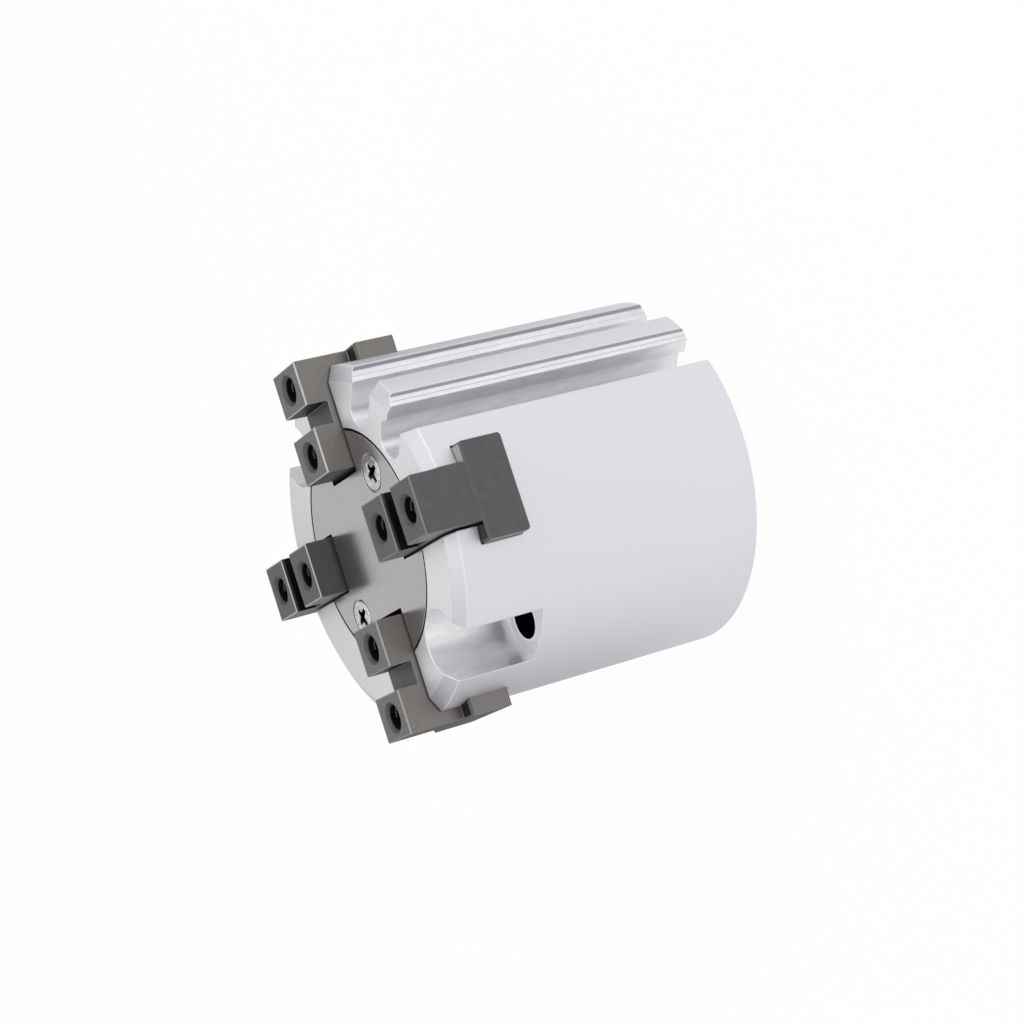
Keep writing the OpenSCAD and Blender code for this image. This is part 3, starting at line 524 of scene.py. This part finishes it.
base = layered(tree, fade(tree, lines, 0.3, 0.7, "B4B2B3", "BEBCBD"), (clouds, "B1AEAE"), (edge, "E0DFDE"))
bump = add(tree, "Bump", {"Strength": 0.2, "Distance": 0.01 * MM, "Height": lines, "Normal": soft}).outputs[0]
feed(tree, shader, {"Base Color": base, "Metallic": 1.0, "Roughness": 0.22, "Normal": bump})
dress("end_plate", ground_plate)

screw_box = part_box("plate_screws")
screw_l = screw_box[1][2] - screw_box[0][2]
solid_head_r = 3.17 * MM
screw_offset = screw_box[1][0] - solid_head_r
head_r = 3.0 * MM
screw_r = 1.44 * MM
recess_depth = 1.35 * MM

# bright zinc with blotches of handling, a painted highlight on its edges, and painted shade in the recess and
# round the head
zinc_screw, tree, shader, coords = start("shaded_zinc_screw")
# painted highlight: the screws' edges are painted almost white
soft, edge = rounded(tree, 0.12 * MM)
height = add(tree, "SeparateXYZ", {0: coords}).outputs[2]
# painted shade: below the plate's face the head's cone and its recess are painted almost black
deep_shade = add(tree, "MapRange", {0: height, 1: front_face - 0.12 * MM, 2: front_face - 0.3 * MM}).outputs[0]
marks = add(tree, "TexNoise", {"Vector": coords, "Scale": 1 / (0.6 * MM), "Detail": 4.0, "Roughness": 0.7})
base = fade(tree, marks.outputs[0], 0.35, 0.65, "ACAAAA", "F0F0F0")
base = layered(tree, base, (edge, "F6F6F6"), (deep_shade, "232222"))
feed(tree, shader, {"Base Color": base, "Metallic": 1.0, "Roughness": 0.28, "Normal": soft})


def cross(mesh, centre, turn, reach, half_w, corner):
    """The 12 corners of a cross recess's outline: four arms of half width half_w that end at reach from the
    middle, and between each two arms an inner corner."""
    points = []
    for quarter in range(4):
        for x, y in ((corner, -corner), (reach, -half_w), (reach, half_w)):
            point = Vector((x, y, 0))
            point.rotate(Matrix.Rotation(turn + quarter * math.pi / 2, 3, "Z"))
            points.append(mesh.verts.new(centre + point))
    return points


def ring_of(mesh, radius, centre, sides=48):
    """The corners of a ring round the centre."""
    angles = [2 * math.pi * i / sides for i in range(sides)]
    return [mesh.verts.new(centre + Vector((radius * math.cos(a), radius * math.sin(a), 0))) for a in angles]


def join_rings(mesh, upper, lower):
    """A band of faces between two outlines with equally many corners."""
    for i in range(len(upper)):
        k = (i + 1) % len(upper)
        mesh.faces.new((upper[i], upper[k], lower[k], lower[i]))


def loop_edges(mesh, points):
    """The edges of an outline, new where none is there yet."""
    return [mesh.edges.get((a, b)) or mesh.edges.new((a, b)) for a, b in zip(points, points[1:] + points[:1])]


def cross_screw(mesh, centre, turn):
    """Countersunk screw with its head's top at centre: rim, cone, shank, and a tapered cross recess."""
    rim = 0.1 * MM
    cone = head_r - screw_r
    tip = 0.3 * MM
    rings = [ring_of(mesh, r, centre + Vector((0, 0, z))) for r, z in (
        (head_r - 0.12 * MM, 0), (head_r, -rim), (screw_r, -cone - rim), (screw_r, tip - screw_l),
        (screw_r - tip, -screw_l))]
    for upper, lower in zip(rings, rings[1:]):
        join_rings(mesh, upper, lower)
    mesh.faces.new(rings[-1])
    recess_top = cross(mesh, centre, turn, reach=2.0 * MM, half_w=0.46 * MM, corner=0.66 * MM)
    centre = centre - Vector((0, 0, recess_depth))
    recess_floor = cross(mesh, centre, turn, reach=0.8 * MM, half_w=0.3 * MM, corner=0.36 * MM)
    join_rings(mesh, recess_top, recess_floor)
    mesh.faces.new(recess_floor)
    bmesh.ops.triangle_fill(mesh, edges=loop_edges(mesh, rings[0]) + loop_edges(mesh, recess_top))


screws = bmesh.new()
for offset, turned_by in ((screw_offset, 20), (-screw_offset, 32)):
    cross_screw(screws, Vector((offset, offset, screw_box[1][2])), math.radians(turned_by))
bmesh.ops.recalc_face_normals(screws, faces=screws.faces)
screw_mesh = bpy.data.meshes.new("plate_screw_pair")
screws.to_mesh(screw_mesh)
screws.free()
piece = mesh_object("plate_screw_pair", screw_mesh, zinc_screw)
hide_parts("plate_screws")
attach(piece, "housing")
